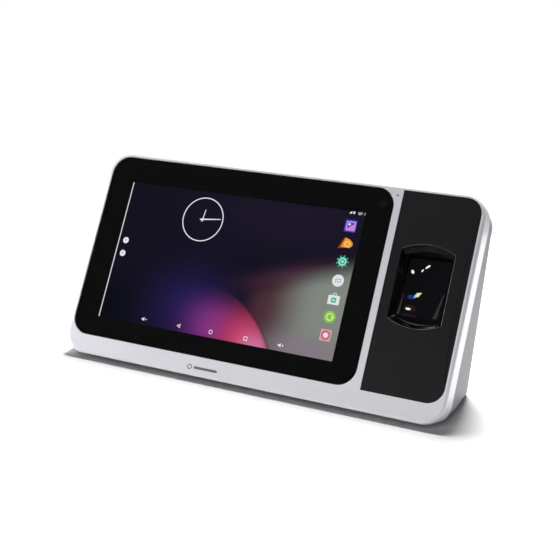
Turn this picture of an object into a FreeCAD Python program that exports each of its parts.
import FreeCAD, Part
import os
import re

import Sketcher

# Desk terminal with a 7-inch touch display and a fingerprint reader, leaning back in a white frame.
# Two frames are used. "panel": origin at the middle of the front face, x along the width, y up the
# leaning face, z out of it, so a depth into the device is a negative z. "row": the upright frame
# of the finished part, z up from the desk, y measured back from the front lower edge.

os.makedirs("parts", exist_ok=True)
doc = FreeCAD.newDocument("terminal")

SIZES = {
    # overall shape
    "front_width": 240.0, "front_height": 127.0, "lean": 31.84, "foot_height": 2.0,
    "row_shift": -44.17,
    "front_corner": 13.0, "band_depth": 12.0, "edge_round": 1.6, "lip": 2.4,
    "back_depth": 40.5, "back_slope": 12.4,
    # front frame
    "rim_left": 1.9, "rim_right": 2.4, "rim_top": 1.9, "chin": 11.3, "divider": 4.0,
    "web": 3.6, "bezel_wall": 2.2, "ledge": 2.2, "seat_gap": 0.15, "recess": 0.3,
    "boss_radius": 3.6, "pilot_cover": 1.2,
    # display stack
    "glass_corner": 11.0, "glass_thick": 1.6, "mask_thick": 0.1, "sensor_thick": 0.3,
    "lcd_sides": 20.8, "lcd_ends": 13.8, "lcd_thick": 3.4, "lcd_rise": 1.0, "lcd_corner": 1.0,
    "active_sides": 31.6, "active_ends": 27.9, "active_rise": 3.05,
    "tray_thick": 1.0, "tray_flange": 0.5, "tray_drop": 1.0,
    "foam_thick": 0.5, "foam_width": 5.0, "foam_inset": 1.0,
    "frame_thick": 1.0, "frame_margin": 8.1, "frame_reach": 1.1, "frame_below": 2.8,
    "frame_down": 4.6, "frame_corner": 3.0, "frame_post_in": 2.6,
    "frame_post_left": 59.8, "frame_post_right": 60.2, "frame_post_low": 32.2,
    "frame_post_high": 16.6,
    "vent_x": -70.0, "vent_step": 34.0, "vent_y": 36.0, "vent_wide": 22.0, "vent_tall": 9.0,
    "vent_corner": 3.0,
    "lcd_ribbon_in": 12.8, "lcd_ribbon_wide": 26.0, "lcd_ribbon_drop": 1.2,
    "touch_ribbon_in": 56.8, "touch_ribbon_wide": 12.0,
    "ribbon_thick": 0.2, "ribbon_room": 0.3, "slot_over": 1.0, "slot_tall": 2.4,
    # finger reader
    "reader_width": 45.9, "panel_corner": 9.5, "panel_thick": 2.2,
    "window_inset": 21.1, "window_width": 30.5, "window_low": -10.2, "window_high": 28.4,
    "window_arch": 31.0, "window_round": 0.45,
    "crease_depth": 0.35, "crease_arch": 380.0, "crease_inset": 4.05, "crease_y": 3.5,
    "crease_round": 0.25,
    "guide_width": 35.0, "guide_over": 6.7, "guide_deep": 12.3, "guide_corner": 3.0,
    "guide_taper": 1.6, "guide_lip": 2.7, "guide_floor": 6.4,
    "prism_width": 25.0, "prism_lip": 2.8, "prism_top": 2.0, "prism_bevel": 5.0,
    "prism_low_depth": 6.2, "prism_high_depth": 9.4, "prism_deep": 15.2,
    "optics_width": 31.0, "optics_over": 4.1, "optics_wall": 1.6, "optics_corner": 2.0,
    "optics_deep": 20.6, "light_depth": 16.6, "light_thick": 0.8, "image_thick": 1.2,
    "barrel_radius": 5.0, "lens_radius": 3.6, "lens_rim": 0.4, "lens_thick": 1.4,
    "barrel_gap": 0.2, "light_eye": 1.0,
    "led_side": 9.5, "led_step": 11.0, "led_wide": 2.8, "led_tall": 1.6, "led_thick": 1.1,
    "image_chip": 4.4, "image_chip_thick": 1.0,
    # rear shell
    "shell_inset": 1.0, "shell_wall": 2.8, "seam": 0.9, "tongue": 1.5, "tongue_gap": 0.15,
    "shell_round": 7.0, "tongue_root": 1.0,
    "screw_inset": 7.6, "screw_rise": 31.5, "screw_radius": 1.25, "screw_clear": 1.45,
    "head_radius": 2.25, "head_thick": 1.6, "screw_seat": 17.0, "screw_tip": 5.5,
    "tube_radius": 4.2, "tube_bore": 2.5, "rib_thick": 2.0, "boss_gap": 0.2,
    "grille_step": 3.0, "grille_wide": 20.0, "grille_slot": 1.2, "grille_corner": 0.5,
    # stand under the overhanging back
    "stand_width": 150.0, "stand_top": 45.0, "stand_back": 83.5, "stand_low_back": 12.0,
    "stand_wall": 2.6, "stand_neck": 6.5, "stand_toe": 4.0, "stand_screw_x": 52.0,
    "stand_screw_up": 55.5, "stand_seat_in": 6.8, "stand_screw_long": 12.0, "pad_radius": 5.0,
    "foot_radius": 5.5, "front_foot_x": 98.0, "front_foot_y": 24.0, "rear_foot_x": 62.0,
    "rear_foot_in": 8.5,
    # main board
    "board_set": 5.5, "board_end": 51.7, "board_up": 24.7, "board_down": 15.6,
    "board_depth": 13.0, "board_thick": 1.6, "board_corner": 1.5, "standoff_radius": 2.4,
    "board_screw": 1.25, "board_head": 1.2, "board_hole_left": 12.0, "board_hole_in": 4.0,
    "thread_in": 0.5,
    "processor_x": -52.0, "processor_y": -2.0, "processor_side": 16.0, "processor_thick": 1.4,
    "memory_x": -32.0, "memory_y": 0.0, "memory_step": 15.0, "memory_wide": 11.0,
    "memory_tall": 13.0, "memory_thick": 1.1,
    "can_x": -56.0, "can_y": -6.0, "can_wide": 54.0, "can_tall": 24.0, "can_thick": 3.2,
    "can_wall": 0.3, "can_corner": 1.0,
    "radio_x": -80.0, "radio_y": 24.0, "radio_wide": 17.0, "radio_tall": 15.0,
    "radio_thick": 2.2, "radio_corner": 0.5,
    "cell_x": -14.0, "cell_y": -16.5, "cell_radius": 8.0, "cell_thick": 1.6,
    "holder_radius": 9.2, "holder_thick": 0.8,
    "plug_in": 9.0, "plug_wide": 4.0, "plug_tall": 8.0, "plug_y": 1.0, "plug_thick": 2.2,
    "cell_plug_wide": 6.0, "cell_plug_y": -10.0,
    "front_plug_up": 3.0, "front_plug_tall": 4.0, "front_plug_thick": 1.2,
    # sockets at the board's left edge, facing the left wall; "up" counts from its lower edge
    "mouth_inset": 1.5, "port_gap": 0.3,
    "dc_up": 5.2, "dc_wide": 9.0, "dc_tall": 11.0, "dc_bore": 2.8, "dc_pin": 1.05,
    "dc_long": 14.0, "dc_reach": 10.0, "pin_back": 1.0,
    "lan_up": 19.0, "lan_wide": 16.0, "lan_tall": 13.4, "lan_long": 21.0,
    "lan_hole_wide": 11.8, "lan_hole_tall": 8.0, "lan_reach": 13.0,
    "contact_first": 3.8, "contact_step": 1.02, "contact_wide": 0.45, "contact_thick": 0.5,
    "contact_back": 3.0,
    "usb_up": 37.5, "usb_wide": 13.2, "usb_tall": 6.2, "usb_long": 14.0,
    "usb_hole_wide": 12.2, "usb_hole_tall": 5.2, "usb_reach": 9.5, "usb_tongue": 1.9,
    "usb_tongue_side": 0.6, "usb_tongue_low": 0.5,
    "micro_up": 49.7, "micro_wide": 7.6, "micro_tall": 2.8, "micro_long": 7.0,
    "micro_wall": 0.4, "micro_end": 1.0,
    "audio_up": 63.5, "audio_wide": 6.0, "audio_tall": 5.0, "audio_bore": 1.8,
    "audio_long": 14.0, "audio_reach": 12.0,
    # the two buttons at the left side
    "power_up": 71.7, "power_long": 7.0, "power_tall": 3.2, "power_depth": 16.3,
    "power_proud": 0.4, "power_gap": 0.25, "power_travel": 0.6, "flange_over": 1.1,
    "flange_side": 0.9, "flange_thick": 1.0, "flange_gap": 0.2, "stem_radius": 0.9,
    "stem_wall": 0.3, "plunger_room": 0.4, "plunger_in": 1.2,
    "reset_up": 56.9, "reset_radius": 0.9, "reset_hole": 1.2, "reset_set_in": 0.5,
    "reset_travel": 0.3,
    "switch_set": 0.4, "switch_size": 5.0, "switch_deep": 3.4, "switch_floor": 0.6,
    # battery, speaker, microphone, camera, antenna
    "battery_gap": 1.0, "battery_width": 46.0, "battery_up": 14.2, "battery_height": 36.0,
    "battery_deep": 13.5, "battery_corner": 2.0, "battery_round": 1.5,
    "reader_ribbon_y": 5.0, "reader_ribbon_wide": 5.0,
    "speaker_in": 25.7, "speaker_down": 39.6, "speaker_width": 30.0, "speaker_height": 18.0,
    "speaker_depth": 16.0, "speaker_thick": 6.0, "speaker_corner": 3.0, "gasket_wall": 2.0,
    "bracket_wide": 8.0, "bracket_in": 2.0,
    "mic_in": 3.1, "mic_down": 3.6, "mic_hole": 0.5, "mic_wide": 4.0, "mic_tall": 3.2,
    "mic_thick": 1.2, "mic_gasket": 0.6,
    "camera_in": 6.9, "camera_down": 8.7, "camera_size": 5.4, "camera_deep": 4.0,
    "camera_lens": 2.2, "camera_corner": 0.4, "lens_gap": 0.3, "lens_back": 0.02,
    "antenna_x": -64.0, "antenna_wide": 42.0, "antenna_thick": 0.3, "antenna_deep": 3.5,
    "antenna_gap": 0.4,
}

# Places and sizes that follow from the driving values. "depth" counts into the device.
DERIVED = {
    "glass_width": "(front_width - rim_left - rim_right - divider - reader_width)",
    "glass_height": "(front_height - rim_top - chin)",
    "glass_left": "rim_left - front_width / 2",
    "glass_low": "chin - front_height / 2",
    "glass_high": "(front_height / 2 - rim_top)",
    "lcd_width": "(glass_width - lcd_sides)",
    "lcd_height": "(glass_height - lcd_ends)",
    "active_width": "(glass_width - active_sides)",
    "active_height": "(glass_height - active_ends)",
    "glass_x": "glass_left + glass_width / 2",
    "glass_seat": "recess + glass_thick",
    "reader_left": "front_width / 2 - rim_right - reader_width",
    "reader_seat": "recess + panel_thick",
    "window_x": "(reader_left + window_inset)",
    "guide_low": "(window_low - guide_over)",
    "guide_high": "(window_high + guide_over)",
    "prism_low": "(window_low + prism_lip)",
    "prism_high": "(window_high - prism_top)",
    "optics_low": "(prism_low - optics_over)",
    "optics_high": "(prism_high + optics_over)",
    "optics_middle": "((optics_low + optics_high) / 2)",
    "optics_depth": "guide_deep",
    "light_back": "(light_depth + light_thick)",
    "mask_depth": "glass_seat",
    "sensor_depth": "mask_depth + mask_thick",
    "lcd_depth": "sensor_depth + sensor_thick",
    "lcd_left": "glass_x - lcd_width / 2",
    "lcd_low": "lcd_rise - lcd_height / 2",
    "tray_depth": "lcd_depth + lcd_thick",
    "foam_depth": "tray_depth + tray_thick",
    "frame_depth": "foam_depth + foam_thick",
    "frame_back": "frame_depth + frame_thick",
    "frame_floor": "(frame_depth - web)",
    "frame_left": "(glass_left + frame_margin)",
    "frame_right": "(reader_left + frame_reach)",
    "frame_low": "(glass_low - frame_below)",
    "frame_high": "(glass_high - frame_down)",
    "shell_depth": "band_depth + seam",
    "cavity_inset": "shell_inset + shell_wall",
    "wall_inside": "front_width / 2 - cavity_inset",
    "mouth": "(mouth_inset - front_width / 2)",
    "board_left": "(mouth + board_set)",
    "board_right": "(reader_left - board_end)",
    "board_low": "(glass_low + board_up)",
    "board_high": "(glass_high - board_down)",
    "board_back": "board_depth + board_thick",
    "dc_y": "(board_low + dc_up)",
    "lan_y": "(board_low + lan_up)",
    "usb_y": "(board_low + usb_up)",
    "micro_y": "(board_low + micro_up)",
    "audio_y": "(board_low + audio_up)",
    "power_y": "(board_low + power_up)",
    "reset_y": "(board_low + reset_up)",
    "switch_face": "(board_left + switch_set)",
    "battery_left": "(board_right + battery_gap)",
    "battery_low": "(glass_low + battery_up)",
    "speaker_x": "(reader_left - speaker_in)",
    "speaker_y": "(glass_high - speaker_down)",
    "mic_x": "(reader_left - mic_in)",
    "mic_y": "(glass_high - mic_down)",
    "camera_x": "(glass_left + glass_width - camera_in)",
    "camera_y": "(glass_high - camera_down)",
    "screw_x": "(front_width / 2 - screw_inset)",
    "screw_high": "(front_height / 2 - screw_inset)",
    "screw_low": "(screw_rise - front_height / 2)",
    "base_slope": "tan(lean)",
    "back_tilt": "tan(back_slope)",
    "face_foot": "(foot_height + lip * sin(lean))",
    "base_start": "(-front_height / 2 - lip * base_slope)",
    "back_foot_depth": "((back_depth - base_start * back_tilt) / (1 + base_slope * back_tilt))",
    "back_foot": "((back_foot_depth - lip * sin(lean)^2) / cos(lean))",
    "back_lean": "(lean - back_slope)",
    "stand_neck_back": "(back_foot + (stand_top - foot_height) * tan(back_lean) + stand_neck)",
    "stand_screw_rise": "(stand_screw_up - front_height / 2)",
    "stand_seat": "(back_depth - stand_screw_rise * back_tilt - stand_seat_in)",
    "stand_tip": "(stand_seat + stand_screw_long)",
    "rear_foot_y": "(stand_back - rear_foot_in)",
}


def alias_row():
    sheet_object = doc.addObject("Spreadsheet::Sheet", "Sizes")
    for row, (alias, number) in enumerate(SIZES.items(), start=1):
        sheet_object.set(f"A{row}", alias.replace("_", " "))
        sheet_object.set(f"B{row}", str(number))
        sheet_object.setAlias(f"B{row}", alias)
    return sheet_object


sheet = alias_row()
doc.recompute()


def expand(text):
    """Write the derived names out, then point every size at its cell."""
    def swap(match):
        word = match.group(0)
        if word in DERIVED:
            return f"({expand(DERIVED[word])})"
        return f"Sizes.{word}" if word in SIZES else word
    return re.sub(r"[a-z][a-z_0-9]*", swap, str(text))


def value(text):
    result = sheet.evalExpression(expand(text))
    return float(getattr(result, "Value", result))


def bind(item, prop, text):
    item.setExpression(prop, expand(text))


# ---- frames -----------------------------------------------------------------------------------

def place_on_panel(item):
    item.Placement = FreeCAD.Placement(FreeCAD.Vector(), FreeCAD.Rotation(FreeCAD.Vector(1, 0, 0), 58))
    bind(item, "Placement.Rotation.Angle", "90 - lean")
    bind(item, "Placement.Base.y", "row_shift + front_height / 2 * sin(lean)")
    bind(item, "Placement.Base.z", "face_foot + front_height / 2 * cos(lean)")


def place_on_desk(item):
    item.Placement = FreeCAD.Placement()
    bind(item, "Placement.Base.y", "row_shift")


def leave_at_origin(item):
    item.Placement = FreeCAD.Placement()


def from_desk(back, rise):
    """Turn a place given by its distance back and its height into the panel frame's y and z."""
    up = f"(({back}) * sin(lean) + (({rise}) - face_foot) * cos(lean) - front_height / 2)"
    out = f"((({rise}) - face_foot) * sin(lean) - ({back}) * cos(lean))"
    return up, out


# ---- sketches ---------------------------------------------------------------------------------

class Outline:
    """A fully constrained sketch on one of its body's own origin planes."""

    def __init__(self, body, name, plane="XY_Plane", offset="0"):
        self.sketch = body.newObject("Sketcher::SketchObject", name)
        origin_plane = [f for f in body.Origin.OriginFeatures if f.Role == plane][0]
        self.sketch.AttachmentSupport = [(origin_plane, "")]
        self.sketch.MapMode = "FlatFace"
        bind(self.sketch, "AttachmentOffset.Base.z", offset)

    def _name(self, index, text):
        label = f"size_{index}"
        self.sketch.renameConstraint(index, label)
        bind(self.sketch, f"Constraints.{label}", text)

    def _pin(self, geometry, point, x, y):
        for kind, text in (("DistanceX", x), ("DistanceY", y)):
            rule = Sketcher.Constraint(kind, -1, 1, geometry, point, value(text))
            self._name(self.sketch.addConstraint(rule), text)

    def _radius(self, geometry, text):
        self._name(self.sketch.addConstraint(Sketcher.Constraint("Radius", geometry, value(text))), text)

    def circle(self, x, y, radius):
        centre = FreeCAD.Vector(value(x), value(y), 0)
        index = self.sketch.addGeometry(Part.Circle(centre, FreeCAD.Vector(0, 0, 1), value(radius)))
        self._pin(index, 3, x, y)
        self._radius(index, radius)
        return self

    def polygon(self, points):
        corners = [FreeCAD.Vector(value(x), value(y), 0) for x, y in points]
        count = len(corners)
        first = self.sketch.GeometryCount
        for index in range(count):
            self.sketch.addGeometry(Part.LineSegment(corners[index], corners[(index + 1) % count]))
        for index in range(count):
            following = first + (index + 1) % count
            self.sketch.addConstraint(Sketcher.Constraint("Coincident", first + index, 2, following, 1))
            self._pin(first + index, 1, *points[index])
        return self

    def rectangle(self, left, low, width, height):
        right, high = f"({left}) + ({width})", f"({low}) + ({height})"
        return self.polygon([(left, low), (right, low), (right, high), (left, high)])

    def rounded(self, left, low, width, height, radius, corners=(True, True, True, True)):
        """A rectangle whose chosen corners, from low left and anticlockwise, are arcs."""
        right, high = f"({left}) + ({width})", f"({low}) + ({height})"
        places = [(left, low, 1, 1), (right, low, -1, 1), (right, high, -1, -1), (left, high, 1, -1)]
        size = value(radius)
        entries, exits, arcs = [], [], []
        for number, (x, y, inward_x, inward_y) in enumerate(places):
            corner = FreeCAD.Vector(value(x), value(y), 0)
            if not corners[number]:
                entries.append(corner)
                exits.append(corner)
                arcs.append(None)
                continue
            along_x = corner + FreeCAD.Vector(inward_x * size, 0, 0)
            along_y = corner + FreeCAD.Vector(0, inward_y * size, 0)
            centre = corner + FreeCAD.Vector(inward_x * size, inward_y * size, 0)
            start, end = (along_y, along_x) if number % 2 == 0 else (along_x, along_y)
            middle = centre + (corner - centre).normalize() * size
            arcs.append(self.sketch.addGeometry(Part.Arc(start, middle, end)))
            entries.append(start)
            exits.append(end)
            self._pin(arcs[-1], 3, f"({x}) + {inward_x} * ({radius})", f"({y}) + {inward_y} * ({radius})")
            self._radius(arcs[-1], radius)
        lines = [self.sketch.addGeometry(Part.LineSegment(exits[n], entries[(n + 1) % 4])) for n in range(4)]
        for number, arc in enumerate(arcs):
            before, after = lines[number - 1], lines[number]
            if arc is None:
                self.sketch.addConstraint(Sketcher.Constraint("Coincident", before, 2, after, 1))
                self._pin(after, 1, *places[number][:2])
            else:
                self.sketch.addConstraint(Sketcher.Constraint("Tangent", before, 2, arc, 1))
                self.sketch.addConstraint(Sketcher.Constraint("Tangent", arc, 2, after, 1))
        return self

    def barrel(self, middle, half, low, high, radius):
        """Two straight sides joined by an arc that swells out at the top and one at the bottom."""
        left, right = f"({middle}) - ({half})", f"({middle}) + ({half})"
        drop = f"sqrt(({radius})^2 - ({half})^2)"
        swell = value(radius) - value(drop)
        corners = [FreeCAD.Vector(value(x), value(y), 0)
                   for x, y in ((left, low), (right, low), (right, high), (left, high))]
        below = FreeCAD.Vector(value(middle), value(low) - swell, 0)
        above = FreeCAD.Vector(value(middle), value(high) + swell, 0)
        pieces = [Part.Arc(corners[0], below, corners[1]), Part.LineSegment(corners[1], corners[2]),
                  Part.Arc(corners[2], above, corners[3]), Part.LineSegment(corners[3], corners[0])]
        first = self.sketch.GeometryCount
        for piece in pieces:
            self.sketch.addGeometry(piece)
        for index in range(4):
            joined = Sketcher.Constraint("Coincident", first + index, 2, first + (index + 1) % 4, 1)
            self.sketch.addConstraint(joined)
        self._pin(first, 3, middle, f"({low}) + {drop}")
        self._pin(first + 2, 3, middle, f"({high}) - {drop}")
        self._radius(first, radius)
        self._radius(first + 2, radius)
        for line, x in ((first + 1, right), (first + 3, left)):
            self.sketch.addConstraint(Sketcher.Constraint("Vertical", line))
            rule = Sketcher.Constraint("DistanceX", -1, 1, line, 1, value(x))
            self._name(self.sketch.addConstraint(rule), x)
        return self


# ---- features ---------------------------------------------------------------------------------

def new_body(label, place=place_on_panel):
    body = doc.addObject("PartDesign::Body", label)
    body.Label = label
    place(body)
    return body


def feature(body, kind, outline, length=None, reverse=False, both=False):
    made = body.newObject(f"PartDesign::{kind}", f"{body.Name}_{kind}")
    made.Profile = outline.sketch
    made.Reversed = reverse
    if both:
        made.SideType = "Symmetric"
    if length is None:
        made.Type = "ThroughAll"
    else:
        bind(made, "Length", length)
    outline.sketch.Visibility = False
    return made


def pad_down(body, outline, thickness):
    """Grow from the sketch into the device."""
    return feature(body, "Pad", outline, thickness, reverse=True)


def cut_down(body, outline, depth):
    """Cut from the sketch into the device, and make sure that something went."""
    before = solid_volume(body)
    made = feature(body, "Pocket", outline, depth)
    require_less(body, before, outline.sketch.Name)
    return made


def cut_across(body, outline, depth="3 * front_width"):
    before = solid_volume(body)
    made = feature(body, "Pocket", outline, depth, both=True)
    require_less(body, before, outline.sketch.Name)
    return made


def solid_volume(body):
    doc.recompute()
    return body.Shape.Volume


def require_less(body, before, name):
    doc.recompute()
    if not body.Shape.Volume < before:
        raise RuntimeError(f"{body.Label}: {name} cut nothing")


def soften(body, radius, chosen):
    """Fillet the edges of the body's last feature that the given test picks."""
    doc.recompute()
    tip = body.Tip
    names = [f"Edge{n}" for n, edge in enumerate(tip.Shape.Edges, start=1) if chosen(edge)]
    made = body.newObject("PartDesign::Fillet", f"{body.Name}_Fillet")
    made.Base = (tip, names)
    bind(made, "Radius", radius)
    return made


def cut_solid(label, base, tool, place=place_on_panel):
    made = doc.addObject("Part::Cut", label)
    made.Label = label
    made.Base = base
    made.Tool = tool
    place(made)
    return made


def fuse_solids(label, solids, place=place_on_panel):
    made = doc.addObject("Part::MultiFuse", label)
    made.Label = label
    made.Shapes = solids
    place(made)
    return made


def slab(label, left, low, width, height, depth, thickness, corner=None, place=place_on_panel):
    """A flat piece that lies parallel to the front face."""
    body = new_body(label, place)
    outline = Outline(body, f"{label}_outline", offset=f"-({depth})")
    if corner is None:
        outline.rectangle(left, low, width, height)
    else:
        outline.rounded(left, low, width, height, corner)
    pad_down(body, outline, thickness)
    return body


def disc(label, x, y, radius, depth, thickness, place=place_on_panel):
    body = new_body(label, place)
    outline = Outline(body, f"{label}_outline", offset=f"-({depth})").circle(x, y, radius)
    pad_down(body, outline, thickness)
    return body


def cut_below_desk_line(body, name, clearance="0"):
    """Take away what lies under the flat base, which is horizontal when the panel leans."""
    rise = f"({clearance}) / cos(lean)"
    low = "base_start"
    far = "front_height"
    points = [(f"{low} + {rise}", "0"), (f"{low} + {rise}", "web"), (f"{low} - {far}", "web"),
              (f"{low} - {far}", f"-{far}"), (f"{low} + {rise} + {far} * base_slope", f"-{far}")]
    cut_across(body, Outline(body, name, "YZ_Plane").polygon(points))


def back_line(rise, clearance="0"):
    """Depth of the sloping back at a height up the panel, less a clearance square to it."""
    return f"(back_depth - ({rise}) * back_tilt - ({clearance}) / cos(back_slope))"


def cut_behind_back(body, name, clearance="0"):
    high, low, far = "front_height", "-front_height", "3 * front_height"
    points = [(low, f"-{back_line(low, clearance)}"), (high, f"-{back_line(high, clearance)}"),
              (high, f"-{far}"), (low, f"-{far}")]
    cut_across(body, Outline(body, name, "YZ_Plane").polygon(points))


def front_plan(outline, inset):
    """The rounded outline of the whole front, moved inwards."""
    return outline.rounded(f"-front_width / 2 + ({inset})", f"-front_height / 2 + ({inset})",
                           f"front_width - 2 * ({inset})", f"front_height - 2 * ({inset})",
                           f"front_corner - ({inset})")


def cavity_plan(outline):
    """The room inside the shell: full width, and down to the base, which another cut closes."""
    return outline.rounded("-wall_inside", "cavity_inset - front_height / 2", "2 * wall_inside",
                           "front_height - 2 * cavity_inset", "front_corner - cavity_inset")


CORNER_SCREWS = [(side, rise) for side in ("-screw_x", "screw_x") for rise in ("screw_low", "screw_high")]
FRAME_SCREWS = [("(glass_x - frame_post_left)", "(frame_low + frame_post_in)"),
                ("(glass_x + frame_post_right)", "(frame_low + frame_post_in)"),
                ("(reader_left - divider / 2)", "(glass_low + frame_post_low)"),
                ("(reader_left - divider / 2)", "(glass_high - frame_post_high)")]
STAND_SCREWS = [("-stand_screw_x", "stand_screw_rise"), ("stand_screw_x", "stand_screw_rise")]
BOARD_SCREWS = [(x, y) for x in ("(board_left + board_hole_left)", "(board_right - board_hole_in)")
                for y in ("(board_low + board_hole_in)", "(board_high - board_hole_in)")]


def at_z(edge, z):
    return abs(edge.BoundBox.ZMin - z) < 1e-4 and abs(edge.BoundBox.ZMax - z) < 1e-4


# ---- front frame ------------------------------------------------------------------------------

def front_bezel():
    body = new_body("bezel_block", leave_at_origin)
    plan = front_plan(Outline(body, "bezel_plan"), "0")
    pad_down(body, plan, "band_depth")
    cut_below_desk_line(body, "bezel_base")
    soften(body, "edge_round", lambda edge: at_z(edge, 0))
    glass = Outline(body, "glass_seat").rounded("glass_left", "glass_low", "glass_width",
                                                "glass_height", "glass_corner")
    cut_down(body, glass, "glass_seat")
    reader = Outline(body, "reader_seat").rounded(
        "reader_left", "glass_low", "reader_width", "glass_height", "panel_corner",
        (False, True, True, False))
    cut_down(body, reader, "reader_seat")
    inner_height = "glass_height - 2 * ledge"
    through = Outline(body, "display_opening").rounded(
        "glass_left + ledge", "glass_low + ledge", "glass_width - 2 * ledge", inner_height,
        "glass_corner - ledge")
    cut_down(body, through, "2 * band_depth")
    opening = Outline(body, "reader_opening").rounded(
        "reader_left + ledge", "glass_low + ledge", "reader_width - 2 * ledge", inner_height,
        "panel_corner - ledge", (False, True, True, False))
    cut_down(body, opening, "2 * band_depth")
    cut_down(body, Outline(body, "mic_opening").circle("mic_x", "mic_y", "mic_hole"), "web")

    room = new_body("bezel_room", leave_at_origin)
    plan = front_plan(Outline(room, "bezel_room_plan", offset="-web"), "bezel_wall")
    pad_down(room, plan, "band_depth")
    cut_below_desk_line(room, "bezel_room_base", "bezel_wall")
    bosses = Outline(room, "bezel_bosses", offset="-web")
    for x, y in CORNER_SCREWS:
        bosses.circle(x, y, "boss_radius")
    cut_down(room, bosses, "2 * band_depth")
    ribs = Outline(room, "bezel_ribs", offset="-web")
    for x, y in CORNER_SCREWS:
        left = "-front_width / 2 + bezel_wall / 2" if x.startswith("-") else x
        ribs.rectangle(left, f"{y} - rib_thick / 2", "screw_inset - bezel_wall / 2", "rib_thick")
    cut_down(room, ribs, "band_depth - tongue - boss_gap - web")
    posts = Outline(room, "frame_bosses", offset="-web")
    for x, y in FRAME_SCREWS:
        posts.circle(x, y, "standoff_radius")
    cut_down(room, posts, "frame_floor")

    shell = cut_solid("bezel_shell", body, room, leave_at_origin)
    holes = [disc(f"bezel_pilot_{n}", x, y, "screw_radius", "screw_tip", "band_depth", leave_at_origin)
             for n, (x, y) in enumerate(CORNER_SCREWS)]
    holes += [disc(f"frame_pilot_{n}", x, y, "board_screw", "web - pilot_cover", "band_depth",
                   leave_at_origin)
              for n, (x, y) in enumerate(FRAME_SCREWS)]
    return cut_solid("front_bezel", shell, fuse_solids("bezel_pilots", holes, leave_at_origin))


# ---- display stack ----------------------------------------------------------------------------

def inside_glass(margin):
    """Left, low, width, height and corner of the glass outline moved inwards."""
    return (f"glass_left + ({margin})", f"glass_low + ({margin})", f"glass_width - 2 * ({margin})",
            f"glass_height - 2 * ({margin})", f"glass_corner - ({margin})")


def touch_glass():
    left, low, width, height, corner = inside_glass("seat_gap")
    return slab("touch_glass", left, low, width, height, "recess", "glass_thick", corner)


def glass_mask():
    left, low, width, height, corner = inside_glass("ledge + seat_gap")
    body = slab("glass_mask", left, low, width, height, "mask_depth", "mask_thick", corner)
    window = Outline(body, "mask_window", offset="-mask_depth").rectangle(
        "glass_x - active_width / 2", "active_rise - active_height / 2", "active_width",
        "active_height")
    cut_down(body, window, "mask_thick")
    eye = Outline(body, "mask_eye", offset="-mask_depth").circle("camera_x", "camera_y", "camera_lens")
    cut_down(body, eye, "mask_thick")
    return body


def touch_sensor():
    left, low, width, height, corner = inside_glass("ledge + seat_gap")
    body = slab("touch_sensor", left, low, width, height, "sensor_depth", "sensor_thick", corner)
    eye = Outline(body, "sensor_eye", offset="-sensor_depth").circle("camera_x", "camera_y",
                                                                    "camera_lens")
    cut_down(body, eye, "sensor_thick")
    return body


def lcd_panel():
    return slab("lcd_panel", "lcd_left", "lcd_low", "lcd_width", "lcd_height", "lcd_depth",
                "lcd_thick", "lcd_corner")


def lcd_back_tray():
    body = slab("lcd_back_tray", "lcd_left - tray_flange", "lcd_low", "lcd_width + 2 * tray_flange",
                "lcd_height", "lcd_depth + tray_drop", "lcd_thick + tray_thick - tray_drop")
    channel = Outline(body, "tray_channel", offset="-lcd_depth").rectangle(
        "lcd_left", "lcd_low - tray_drop", "lcd_width", "lcd_height + 2 * tray_drop")
    cut_down(body, channel, "lcd_thick")
    return body


def lcd_foam():
    body = slab("lcd_foam", "lcd_left + foam_inset", "lcd_low + foam_inset",
                "lcd_width - 2 * foam_inset", "lcd_height - 2 * foam_inset", "foam_depth", "foam_thick")
    edge = "(foam_inset + foam_width)"
    middle = Outline(body, "foam_middle", offset="-foam_depth").rectangle(
        f"lcd_left + {edge}", f"lcd_low + {edge}", f"lcd_width - 2 * {edge}",
        f"lcd_height - 2 * {edge}")
    cut_down(body, middle, "foam_thick")
    return body


RIBBONS = {"lcd_ribbon": ("(glass_x - lcd_ribbon_in)", "lcd_ribbon_wide"),
           "touch_ribbon": ("(glass_x - touch_ribbon_in)", "touch_ribbon_wide")}
RIBBON_TURN = "(glass_low + ledge + ribbon_room)"


def mid_frame():
    body = slab("mid_frame", "frame_left", "frame_low", "frame_right - frame_left",
                "frame_high - frame_low", "frame_depth", "frame_thick", "frame_corner")
    slots = Outline(body, "frame_slots", offset="-frame_depth")
    for left, width in RIBBONS.values():
        slots.rectangle(f"{left} - slot_over", f"{RIBBON_TURN} - slot_over",
                        f"{width} + 2 * slot_over", "slot_tall")
    for x, y in FRAME_SCREWS:
        slots.circle(x, y, "board_screw")
    for column in range(4):
        slots.rounded(f"vent_x + {column} * vent_step", "vent_y", "vent_wide", "vent_tall",
                      "vent_corner")
    cut_down(body, slots, "frame_thick")
    return body


# ---- finger reader ----------------------------------------------------------------------------

def reader_panel():
    body = new_body("reader_panel")
    plate = Outline(body, "panel_plan", offset="-recess").rounded(
        "reader_left + seat_gap", "glass_low + seat_gap", "reader_width - 2 * seat_gap",
        "glass_height - 2 * seat_gap", "panel_corner - seat_gap", (False, True, True, False))
    pad_down(body, plate, "panel_thick")
    window = Outline(body, "panel_window", offset="-recess").barrel(
        "window_x", "window_width / 2", "window_low", "window_high", "window_arch")
    cut_down(body, window, "panel_thick")
    soften(body, "window_round", lambda edge: at_z(edge, value("-recess")) and inside_window(edge))
    crease = Outline(body, "panel_crease", offset="-recess").circle(
        "front_width / 2 - rim_right - crease_inset + crease_arch", "crease_y", "crease_arch")
    cut_down(body, crease, "crease_depth")
    soften(body, "crease_round", lambda edge: at_z(edge, value("-recess")) and hasattr(edge.Curve, "Radius")
           and abs(edge.Curve.Radius - value("crease_arch")) < 1e-3)
    return body


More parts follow.
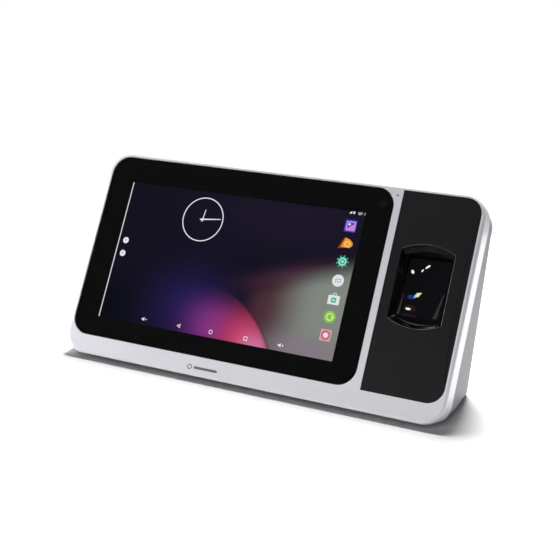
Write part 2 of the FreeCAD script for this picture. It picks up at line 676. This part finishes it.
def inside_window(edge):
    box = edge.BoundBox
    return (box.XMin > value("window_x - window_width / 2") - 0.01
            and box.XMax < value("window_x + window_width / 2") + 0.01)


def finger_guide():
    body = slab("finger_guide", "window_x - guide_width / 2", "guide_low", "guide_width",
                "guide_high - guide_low", "reader_seat", "guide_deep - reader_seat", "guide_corner")
    mouth = Outline(body, "guide_mouth", offset="-reader_seat").barrel(
        "window_x", "window_width / 2", "window_low", "window_high", "window_arch")
    throat = Outline(body, "guide_throat", offset="-guide_floor").barrel(
        "window_x", "window_width / 2 - guide_taper", "window_low + guide_lip",
        "window_high - guide_taper", "window_arch")
    before = solid_volume(body)
    bowl = body.newObject("PartDesign::SubtractiveLoft", "guide_bowl")
    bowl.Profile = mouth.sketch
    bowl.Sections = [throat.sketch]
    bowl.Ruled = True
    require_less(body, before, "guide_bowl")
    opening = Outline(body, "guide_opening", offset="-guide_floor").rectangle(
        "window_x - prism_width / 2", "prism_low", "prism_width", "prism_high - prism_low")
    cut_down(body, opening, "guide_deep")
    slope = Outline(body, "guide_upper", "YZ_Plane", "window_x").polygon(
        [("prism_low", "-guide_floor"), ("prism_high + prism_top / 2", "-guide_floor"),
         ("prism_high + prism_top / 2", "-prism_high_depth")])
    cut_across(body, slope, "prism_width")
    return body


def scanner_prism():
    body = new_body("scanner_prism")
    side = Outline(body, "prism_side", "YZ_Plane", "window_x").polygon(
        [("prism_low", "-prism_low_depth"), ("prism_high", "-prism_high_depth"),
         ("prism_high", "-guide_deep"), ("prism_high - prism_bevel", "-prism_deep"),
         ("prism_low + prism_bevel", "-prism_deep"), ("prism_low", "-guide_deep")])
    feature(body, "Pad", side, "prism_width", both=True)
    return body


def optics_housing():
    left = "window_x - optics_width / 2"
    height = "optics_high - optics_low"
    body = slab("optics_housing", left, "optics_low", "optics_width", height, "optics_depth",
                "optics_deep - optics_depth", "optics_corner")
    upper = Outline(body, "optics_upper", offset="-optics_depth").rectangle(
        f"{left} + optics_wall", "optics_low + optics_wall", "optics_width - 2 * optics_wall",
        f"{height} - 2 * optics_wall")
    cut_down(body, upper, "light_back - optics_depth")
    lower = Outline(body, "optics_lower", offset="-optics_depth").rectangle(
        f"{left} + 2 * optics_wall", "optics_low + 2 * optics_wall",
        "optics_width - 4 * optics_wall", f"{height} - 4 * optics_wall")
    cut_down(body, lower, "optics_deep")
    return body


def reader_light_board():
    body = slab("reader_light_board", "window_x - optics_width / 2 + optics_wall",
                "optics_low + optics_wall", "optics_width - 2 * optics_wall",
                "optics_high - optics_low - 2 * optics_wall", "light_depth", "light_thick")
    eye = Outline(body, "light_eye_plan", offset="-light_depth").circle(
        "window_x", "optics_middle", "lens_radius + light_eye")
    cut_down(body, eye, "light_thick")
    return body


def reader_leds():
    """Six lamps on the light board, three on each side of the lens."""
    body = new_body("reader_leds")
    lamps = Outline(body, "led_plan", offset="-(light_depth - led_thick)")
    for side in (-1, 1):
        for row in (-1, 0, 1):
            lamps.rectangle(f"window_x + {side} * led_side - led_wide / 2",
                            f"optics_middle + {row} * led_step - led_tall / 2", "led_wide", "led_tall")
    pad = pad_down(body, lamps, "led_thick")
    pad.AllowMultiFace = True
    return body


def reader_lens_barrel():
    body = disc("reader_lens_barrel", "window_x", "optics_middle", "barrel_radius",
                "light_back + barrel_gap", "optics_deep - light_back - barrel_gap")
    bore = Outline(body, "barrel_bore", offset="-light_depth").circle("window_x", "optics_middle",
                                                                      "lens_radius + lens_rim")
    cut_down(body, bore, "optics_deep")
    return body


def reader_lens():
    return disc("reader_lens", "window_x", "optics_middle", "lens_radius + lens_rim",
                "light_back + 2 * barrel_gap", "lens_thick")


def reader_image_board():
    return slab("reader_image_board", "window_x - optics_width / 2", "optics_low", "optics_width",
                "optics_high - optics_low", "optics_deep", "image_thick", "optics_corner / 2")


def reader_image_chip():
    return slab("reader_image_chip", "window_x - image_chip / 2", "optics_middle - image_chip / 2",
                "image_chip", "image_chip", "optics_deep - image_chip_thick", "image_chip_thick")


# ---- main board -------------------------------------------------------------------------------

def main_board():
    body = slab("main_board", "board_left", "board_low", "board_right - board_left",
                "board_high - board_low", "board_depth", "board_thick", "board_corner")
    holes = Outline(body, "board_holes", offset="-board_depth")
    for x, y in BOARD_SCREWS:
        holes.circle(x, y, "board_screw")
    cut_down(body, holes, "board_thick")
    return body


def board_standoffs():
    body = new_body("board_standoffs")
    plan = Outline(body, "standoff_plan", offset="-frame_back")
    for x, y in BOARD_SCREWS:
        plan.circle(x, y, "standoff_radius")
    pad = pad_down(body, plan, "board_depth - frame_back")
    pad.AllowMultiFace = True
    bores = Outline(body, "standoff_bores", offset="-frame_back")
    for x, y in BOARD_SCREWS:
        bores.circle(x, y, "board_screw")
    cut_down(body, bores, "board_depth")
    return body


def screw_group(label, places, head_top, head_radius, head_thick, shank_radius, tip):
    """Pan-head screws driven from behind: each head lies behind its seat, the tip in front."""
    body = new_body(label)
    heads = Outline(body, f"{label}_heads", offset=f"-({head_top})")
    shanks = Outline(body, f"{label}_shanks", offset=f"-({tip})")
    for x, y in places:
        heads.circle(x, y, head_radius)
        shanks.circle(x, y, shank_radius)
    pad = pad_down(body, heads, head_thick)
    pad.AllowMultiFace = True
    pad = pad_down(body, shanks, f"({head_top}) - ({tip}) + 0.2 * ({head_thick})")
    pad.AllowMultiFace = True
    sockets = Outline(body, f"{label}_drives", offset=f"-({head_top}) - ({head_thick})")
    for x, y in places:
        sockets.rectangle(f"{x} - 0.3", f"{y} - 0.6 * ({head_radius})", "0.6", f"1.2 * ({head_radius})")
    before = solid_volume(body)
    feature(body, "Pocket", sockets, f"0.4 * ({head_thick})", reverse=True)
    require_less(body, before, f"{label}_drives")
    return body


def board_parts():
    """Small plain parts soldered to the main board's rear side, and the plugs on its front side."""
    back = "board_back"
    slab("processor", "processor_x", "processor_y", "processor_side", "processor_side", back,
         "processor_thick")
    memory = new_body("memory_chips")
    plan = Outline(memory, "memory_plan", offset=f"-{back}")
    for place in range(2):
        plan.rectangle(f"memory_x + {place} * memory_step", "memory_y", "memory_wide", "memory_tall")
    pad = pad_down(memory, plan, "memory_thick")
    pad.AllowMultiFace = True
    can = slab("shield_can", "can_x", "can_y", "can_wide", "can_tall", back, "can_thick", "can_corner")
    room = Outline(can, "can_room", offset=f"-{back}").rounded(
        "can_x + can_wall", "can_y + can_wall", "can_wide - 2 * can_wall", "can_tall - 2 * can_wall",
        "can_corner - can_wall")
    cut_down(can, room, "can_thick - can_wall")
    slab("wireless_module", "radio_x", "radio_y", "radio_wide", "radio_tall", back, "radio_thick",
         "radio_corner")
    disc("coin_cell_holder", "cell_x", "cell_y", "holder_radius", back, "holder_thick")
    disc("coin_cell", "cell_x", "cell_y", "cell_radius", f"{back} + holder_thick", "cell_thick")
    plugs = new_body("board_connectors")
    plan = Outline(plugs, "rear_plug_plan", offset=f"-{back}")
    plan.rectangle("board_right - plug_in", "plug_y", "plug_wide", "plug_tall")
    plan.rectangle("board_right - plug_in", "cell_plug_y", "cell_plug_wide", "plug_tall")
    pad = pad_down(plugs, plan, "plug_thick")
    pad.AllowMultiFace = True
    plan = Outline(plugs, "front_plug_plan", offset="-(board_depth - front_plug_thick)")
    for left, width in RIBBONS.values():
        plan.rectangle(f"{left} - slot_over", "board_low + front_plug_up", f"{width} + 2 * slot_over",
                       "front_plug_tall")
    pad = pad_down(plugs, plan, "front_plug_thick")
    pad.AllowMultiFace = True


def socket_block(label, y, wide, tall, long):
    """A socket on the board's rear side whose mouth faces left."""
    return slab(label, "mouth", f"{y} - {wide} / 2", long, wide, "board_back", tall)


def across_x(body, name, x):
    """An outline square to x. Its own x runs up the panel and its own y runs out of it."""
    return Outline(body, name, "YZ_Plane", x)


def hollow_from_mouth(body, outline, reach):
    before = solid_volume(body)
    feature(body, "Pocket", outline, reach, reverse=True)
    require_less(body, before, outline.sketch.Name)


def middle_of(tall):
    return f"-(board_back + {tall} / 2)"


def dc_inlet():
    body = socket_block("dc_inlet", "dc_y", "dc_wide", "dc_tall", "dc_long")
    bore = across_x(body, "dc_bore_plan", "mouth").circle("dc_y", middle_of("dc_tall"), "dc_bore")
    hollow_from_mouth(body, bore, "dc_reach")
    pin = new_body("dc_inlet_pin")
    plan = across_x(pin, "dc_pin_plan", "mouth + pin_back").circle("dc_y", middle_of("dc_tall"),
                                                                   "dc_pin")
    feature(pin, "Pad", plan, "dc_reach - pin_back")


def network_jack():
    body = socket_block("network_jack", "lan_y", "lan_wide", "lan_tall", "lan_long")
    hole = across_x(body, "lan_hole", "mouth").rectangle(
        "lan_y - lan_hole_wide / 2", f"{middle_of('lan_tall')} - lan_hole_tall / 2",
        "lan_hole_wide", "lan_hole_tall")
    hollow_from_mouth(body, hole, "lan_reach")
    contacts = new_body("network_contacts")
    plan = Outline(contacts, "contact_plan", offset=f"{middle_of('lan_tall')} + lan_hole_tall / 2")
    for number in range(8):
        plan.rectangle("mouth + contact_back", f"lan_y - contact_first + {number} * contact_step",
                       "lan_reach - contact_back", "contact_wide")
    pad = pad_down(contacts, plan, "contact_thick")
    pad.AllowMultiFace = True


def usb_socket():
    body = socket_block("usb_socket", "usb_y", "usb_wide", "usb_tall", "usb_long")
    hole = across_x(body, "usb_hole", "mouth").rectangle(
        "usb_y - usb_hole_wide / 2", f"{middle_of('usb_tall')} - usb_hole_tall / 2",
        "usb_hole_wide", "usb_hole_tall")
    hollow_from_mouth(body, hole, "usb_reach")
    slab("usb_tongue", "mouth + pin_back", "usb_y - usb_hole_wide / 2 + usb_tongue_side",
         "usb_reach - pin_back", "usb_hole_wide - 2 * usb_tongue_side",
         f"-{middle_of('usb_tall')} - usb_hole_tall / 2 + usb_tongue_low", "usb_tongue")


def micro_usb_socket():
    body = socket_block("micro_usb_socket", "micro_y", "micro_wide", "micro_tall", "micro_long")
    hole = across_x(body, "micro_hole", "mouth").rectangle(
        "micro_y - micro_wide / 2 + micro_wall",
        f"{middle_of('micro_tall')} - micro_tall / 2 + micro_wall",
        "micro_wide - 2 * micro_wall", "micro_tall - 2 * micro_wall")
    hollow_from_mouth(body, hole, "micro_long - micro_end")


def audio_jack():
    body = socket_block("audio_jack", "audio_y", "audio_wide", "audio_tall", "audio_long")
    bore = across_x(body, "audio_bore_plan", "mouth").circle("audio_y", middle_of("audio_tall"),
                                                            "audio_bore")
    hollow_from_mouth(body, bore, "audio_reach")


def power_button():
    """A cap through the left wall, a flange that keeps it in, and a stem towards its switch."""
    outside = "-(front_width / 2 - shell_inset) - power_proud"
    inside = "-wall_inside + flange_gap"
    body = new_body("power_button")
    cap = across_x(body, "button_cap", outside).rounded(
        "power_y - power_long / 2", "-power_depth - power_tall / 2", "power_long", "power_tall",
        "0.47 * power_tall")
    feature(body, "Pad", cap, f"({inside}) - ({outside})")
    flange = across_x(body, "button_flange", inside).rectangle(
        "power_y - power_long / 2 - flange_side", "-power_depth - power_tall / 2 - flange_over",
        "power_long + 2 * flange_side", "power_tall + 2 * flange_over")
    feature(body, "Pad", flange, "flange_thick")
    stem = across_x(body, "button_stem", f"{inside} + flange_thick").circle(
        "power_y", "-power_depth", "stem_radius + stem_wall")
    stem_end = "(switch_face - power_travel - plunger_room)"
    feature(body, "Pad", stem, f"{stem_end} - ({inside} + flange_thick)")
    plunger = new_body("power_plunger")
    plan = across_x(plunger, "power_plunger_plan", stem_end).circle("power_y", "-power_depth",
                                                                    "stem_radius")
    feature(plunger, "Pad", plan, f"switch_face + plunger_in - {stem_end}")


def reset_plunger():
    body = new_body("reset_plunger")
    tip = "(reset_set_in - wall_inside)"
    plan = across_x(body, "reset_plan", tip).circle("reset_y", "-power_depth", "reset_radius")
    feature(body, "Pad", plan, f"switch_face + plunger_in - {tip}")


def side_switches():
    """Two small switches at the board's edge, each hollow where its plunger runs."""
    body = new_body("side_switches")
    plan = across_x(body, "switch_plan", "switch_face")
    bores = across_x(body, "switch_bores", "switch_face")
    for y, radius in (("power_y", "stem_radius"), ("reset_y", "reset_radius")):
        plan.rectangle(f"{y} - switch_size / 2", "-power_depth - switch_size / 2", "switch_size",
                       "power_depth + switch_size / 2 - board_back")
        bores.circle(y, "-power_depth", f"{radius} + reset_travel")
    pad = feature(body, "Pad", plan, "switch_deep")
    pad.AllowMultiFace = True
    hollow_from_mouth(body, bores, "switch_deep - switch_floor")


def ribbon(label, left, width, start_depth, start_y):
    """A flat cable out of the display's lower edge, round the mid frame and up to the board."""
    body = new_body(label)
    turn, end, thick = RIBBON_TURN, "board_low + front_plug_up", "ribbon_thick"
    deep = "board_depth - 2 * ribbon_thick"
    side = Outline(body, f"{label}_side", "YZ_Plane", f"({left}) + ({width}) / 2").polygon([
        (start_y, f"-({start_depth})"), (turn, f"-({start_depth})"), (turn, f"-({deep})"),
        (end, f"-({deep})"), (end, f"-({deep}) + {thick}"), (f"{turn} + {thick}", f"-({deep}) + {thick}"),
        (f"{turn} + {thick}", f"-({start_depth}) - {thick}"), (start_y, f"-({start_depth}) - {thick}")])
    feature(body, "Pad", side, width, both=True)


def reader_ribbon():
    """From the image board to the main board, over the battery."""
    body = new_body("reader_ribbon")
    thick = "ribbon_thick"
    high, low = "optics_deep + image_thick / 2", "board_back + plug_thick / 2"
    turn, start = "board_right + battery_gap", "window_x - optics_width / 2"
    end = "board_right - plug_in + plug_wide"
    side = Outline(body, "reader_ribbon_side", "XZ_Plane", "-reader_ribbon_y").polygon([
        (start, f"-({high})"), (f"{turn} + {thick}", f"-({high})"),
        (f"{turn} + {thick}", f"-({low})"), (end, f"-({low})"), (end, f"-({low}) - {thick}"),
        (turn, f"-({low}) - {thick}"), (turn, f"-({high}) - {thick}"),
        (start, f"-({high}) - {thick}")])
    feature(body, "Pad", side, "reader_ribbon_wide", both=True)


# ---- battery, speaker, microphone, camera, antenna ---------------------------------------------

def battery_pack():
    body = slab("battery_pack", "battery_left", "battery_low", "battery_width", "battery_height",
                "frame_back", "battery_deep", "battery_corner")
    soften(body, "battery_round", lambda edge: at_z(edge, value("-frame_back - battery_deep")))


def speaker():
    slab("speaker", "speaker_x - speaker_width / 2", "speaker_y - speaker_height / 2",
         "speaker_width", "speaker_height", "speaker_depth", "speaker_thick", "speaker_corner")
    gasket = slab("speaker_gasket", "speaker_x - speaker_width / 2", "speaker_y - speaker_height / 2",
                  "speaker_width", "speaker_height", "speaker_depth + speaker_thick",
                  "back_depth", "speaker_corner")
    room = Outline(gasket, "gasket_room", offset="-speaker_depth").rounded(
        "speaker_x - speaker_width / 2 + gasket_wall", "speaker_y - speaker_height / 2 + gasket_wall",
        "speaker_width - 2 * gasket_wall", "speaker_height - 2 * gasket_wall", "speaker_corner / 2")
    cut_down(gasket, room, "2 * back_depth")
    cut_behind_back(gasket, "gasket_back", "shell_wall")
    slab("speaker_bracket", "speaker_x - bracket_wide / 2",
         "speaker_y - speaker_height / 2 + bracket_in", "bracket_wide",
         "speaker_height - 2 * bracket_in", "frame_back", "speaker_depth - frame_back")


def microphone():
    place = ("mic_x - mic_wide / 2", "mic_y - mic_tall / 2", "mic_wide", "mic_tall")
    ring = slab("mic_gasket", *place, "web", "mic_gasket")
    hole = Outline(ring, "gasket_hole", offset="-web").circle("mic_x", "mic_y", "2 * mic_hole")
    cut_down(ring, hole, "mic_gasket")
    slab("microphone", *place, "web + mic_gasket", "mic_thick")


def camera():
    slab("camera_module", "camera_x - camera_size / 2", "camera_y - camera_size / 2", "camera_size",
         "camera_size", "lcd_depth", "camera_deep", "camera_corner")
    disc("camera_lens", "camera_x", "camera_y", "camera_lens - lens_gap", "mask_depth + lens_back",
         "lcd_depth - mask_depth - lens_back")


def antenna():
    slab("wifi_antenna", "antenna_x", "front_height / 2 - cavity_inset - antenna_thick",
         "antenna_wide", "antenna_thick", "shell_depth + antenna_gap", "antenna_deep")


# ---- rear shell, stand and feet ----------------------------------------------------------------

def wall_hole(body, name, outline_maker):
    """Cut through the left wall only."""
    outline = Outline(body, name, "YZ_Plane", "-front_width / 2")
    outline_maker(outline)
    hollow_from_mouth(body, outline, "cavity_inset + tongue")


def rear_housing():
    body = new_body("housing_block", leave_at_origin)
    step = "bezel_wall + tongue_gap"
    tongue = front_plan(Outline(body, "tongue_plan", offset="-(band_depth - tongue)"), step)
    pad_down(body, tongue, "tongue + seam + tongue_root")
    cut_below_desk_line(body, "tongue_base", step)
    plan = front_plan(Outline(body, "housing_plan", offset="-shell_depth"), "shell_inset")
    pad_down(body, plan, "2 * back_depth")
    cut_below_desk_line(body, "housing_base")
    cut_behind_back(body, "housing_back")

    def back_edge(edge):
        box = edge.BoundBox
        slope = value("back_tilt")
        ends = [vertex.Point for vertex in edge.Vertexes]
        return box.ZMax < -value("shell_depth + tongue_root") and all(
            abs(point.z + value("back_depth") - point.y * slope) < 1e-3 for point in ends)
    soften(body, "shell_round", back_edge)

    relief = Outline(body, "boss_relief", offset="-(band_depth - tongue - tongue_root)")
    for x, y in CORNER_SCREWS:
        relief.circle(x, y, "boss_radius + boss_gap")
    cut_down(body, relief, "tongue + tongue_root + boss_gap / 2")
    bores = Outline(body, "screw_bores", offset="-screw_seat - head_thick / 5")
    for x, y in CORNER_SCREWS:
        bores.circle(x, y, "tube_bore")
    cut_down(body, bores, "3 * back_depth")
    holes = Outline(body, "screw_holes", offset="0")
    for x, y in CORNER_SCREWS:
        holes.circle(x, y, "screw_clear")
    for x, y in STAND_SCREWS:
        holes.circle(x, y, "screw_clear")
    cut_down(body, holes, "3 * back_depth")

    def port(y, wide, tall):
        return lambda outline: outline.rectangle(
            f"{y} - {wide} / 2 - port_gap", f"{middle_of(tall)} - {tall} / 2 - port_gap",
            f"{wide} + 2 * port_gap", f"{tall} + 2 * port_gap")
    for name in ("dc", "lan", "usb", "micro", "audio"):
        wall_hole(body, f"{name}_port", port(f"{name}_y", f"{name}_wide", f"{name}_tall"))
    wall_hole(body, "power_port", lambda outline: outline.rounded(
        "power_y - power_long / 2 - power_gap", "-power_depth - power_tall / 2 - power_gap",
        "power_long + 2 * power_gap", "power_tall + 2 * power_gap", "power_tall / 2"))
    wall_hole(body, "reset_port", lambda outline: outline.circle("reset_y", "-power_depth",
                                                               "reset_hole"))
    grille = Outline(body, "grille", offset="-speaker_depth")
    for row in range(5):
        grille.rounded("speaker_x - grille_wide / 2",
                       f"speaker_y + {row - 2} * grille_step - grille_slot / 2", "grille_wide",
                       "grille_slot", "grille_corner")
    cut_down(body, grille, "back_depth")

    room = new_body("housing_room", leave_at_origin)
    pad_down(room, cavity_plan(Outline(room, "room_plan", offset="-web")), "2 * back_depth")
    cut_below_desk_line(room, "room_base", "shell_wall")
    cut_behind_back(room, "room_back", "shell_wall")
    tubes = Outline(room, "screw_tubes", offset="-(band_depth + boss_gap / 2)")
    for x, y in CORNER_SCREWS:
        tubes.circle(x, y, "tube_radius")
    cut_down(room, tubes, "3 * back_depth")
    pads = Outline(room, "stand_pads", offset="-stand_seat")
    for x, y in STAND_SCREWS:
        pads.circle(x, y, "pad_radius")
    cut_down(room, pads, "back_depth")
    return cut_solid("rear_housing", body, room)


def shell_point(rise):
    """The point of the sloping back at a height above the desk, in the panel frame."""
    back = f"(back_foot + (({rise}) - foot_height) * tan(back_lean))"
    return from_desk(back, rise)


def rear_stand():
    body = new_body("stand_block", leave_at_origin)
    side = Outline(body, "stand_side", "YZ_Plane").polygon([
        shell_point("foot_height + stand_neck"), shell_point("stand_top"),
        from_desk("stand_neck_back", "stand_top"), from_desk("stand_back", "stand_low_back"),
        from_desk("stand_back", "foot_height"), from_desk("back_foot + stand_toe", "foot_height")])
    feature(body, "Pad", side, "stand_width", both=True)

    def outer_edge(edge):
        ends = [vertex.Point for vertex in edge.Vertexes]
        base = [from_panel(point) for point in ends]
        back_foot = value("back_foot")
        away = [y - back_foot - (z - value("foot_height")) * value("tan(back_lean)")
                for y, z in base]
        return all(gap > 0.5 for gap in away) and not all(
            abs(z - value("foot_height")) < 0.01 for y, z in base)
    soften(body, "stand_wall", outer_edge)

    room = new_body("stand_room", leave_at_origin)
    wall = "stand_wall"
    side = Outline(room, "stand_room_side", "YZ_Plane").polygon([
        shell_point(f"foot_height + stand_neck + 0.4 * {wall}"), shell_point(f"stand_top - {wall}"),
        from_desk(f"stand_neck_back - 0.8 * {wall}", f"stand_top - {wall}"),
        from_desk(f"stand_back - {wall}", "stand_low_back"),
        from_desk(f"stand_back - {wall}", f"foot_height + {wall}"),
        from_desk(f"back_foot + stand_toe + {wall}", f"foot_height + {wall}")])
    feature(room, "Pad", side, f"stand_width - 2 * {wall}", both=True)
    posts = Outline(room, "stand_posts", offset="0")
    for x, y in STAND_SCREWS:
        posts.circle(x, y, "pad_radius - boss_gap")
    cut_down(room, posts, "2 * front_height")
    shell = cut_solid("stand_shell", body, room, leave_at_origin)
    pilots = [disc(f"stand_pilot_{n}", x, y, "screw_radius", "0", "stand_tip + thread_in",
                   leave_at_origin)
              for n, (x, y) in enumerate(STAND_SCREWS)]
    return cut_solid("rear_stand", shell, fuse_solids("stand_pilots", pilots, leave_at_origin))


def from_panel(point):
    """Distance back and height of a panel-frame point."""
    sine, cosine = value("sin(lean)"), value("cos(lean)")
    up = point.y + value("front_height") / 2
    return up * sine - point.z * cosine, value("face_foot") + up * cosine + point.z * sine


def stand_screws():
    """Driven from inside the shell, so the heads face the front."""
    body = new_body("stand_screws")
    heads = Outline(body, "stand_heads", offset="-(stand_seat - head_thick)")
    shanks = Outline(body, "stand_shanks", offset="-(stand_seat - head_thick / 5)")
    for x, y in STAND_SCREWS:
        heads.circle(x, y, "head_radius")
        shanks.circle(x, y, "screw_radius")
    pad = pad_down(body, heads, "head_thick")
    pad.AllowMultiFace = True
    pad = pad_down(body, shanks, "stand_tip - stand_seat + head_thick / 5")
    pad.AllowMultiFace = True


def rubber_feet(label, x, y):
    body = new_body(label, place_on_desk)
    plan = Outline(body, f"{label}_plan")
    for side in (f"-({x})", x):
        plan.circle(side, y, "foot_radius")
    pad = feature(body, "Pad", plan, "foot_height")
    pad.AllowMultiFace = True


# ---- build ------------------------------------------------------------------------------------

def build():
    front_bezel()
    touch_glass()
    glass_mask()
    touch_sensor()
    lcd_panel()
    lcd_back_tray()
    lcd_foam()
    mid_frame()
    reader_panel()
    finger_guide()
    scanner_prism()
    optics_housing()
    reader_light_board()
    reader_leds()
    reader_lens_barrel()
    reader_lens()
    reader_image_board()
    reader_image_chip()
    main_board()
    board_standoffs()
    board_parts()
    dc_inlet()
    network_jack()
    usb_socket()
    micro_usb_socket()
    audio_jack()
    power_button()
    reset_plunger()
    side_switches()
    ribbon("lcd_ribbon", *RIBBONS["lcd_ribbon"], "lcd_depth + lcd_ribbon_drop", "lcd_low")
    ribbon("touch_ribbon", *RIBBONS["touch_ribbon"], "lcd_depth", "lcd_low")
    reader_ribbon()
    battery_pack()
    speaker()
    microphone()
    camera()
    antenna()
    rear_housing()
    rear_stand()
    screw_group("housing_screws", CORNER_SCREWS, "screw_seat + head_thick / 5", "head_radius",
                "head_thick", "screw_radius", "screw_tip + thread_in")
    screw_group("frame_screws", FRAME_SCREWS, "frame_back", "standoff_radius", "board_head",
                "board_screw", "web")
    screw_group("board_screws", BOARD_SCREWS, "board_back", "standoff_radius", "board_head",
                "board_screw", "frame_back + thread_in")
    stand_screws()
    rubber_feet("front_feet", "front_foot_x", "front_foot_y")
    rubber_feet("rear_feet", "rear_foot_x", "rear_foot_y")


def used_by_another(item):
    return any(user.isDerivedFrom("Part::Feature") for user in item.InList)


def sub_parts():
    """Every body or boolean that no other one is made from."""
    kinds = ("PartDesign::Body", "Part::Cut", "Part::MultiFuse", "Part::Compound")
    return [item for item in doc.Objects if item.TypeId in kinds and not used_by_another(item)]


def check(items):
    for item in doc.Objects:
        if "Invalid" in item.State or "Error" in item.State:
            raise RuntimeError(f"{item.Label} did not compute: {item.State}")
    for item in items:
        if item.Shape.isNull() or not item.Shape.isValid() or not item.Shape.Solids:
            raise RuntimeError(f"{item.Label} has no valid solid")


build()
doc.recompute()
made = sub_parts()
check(made)
for item in made:
    item.Shape.exportStep(f"parts/{item.Label}.step")
print(len(made), "sub-parts written")
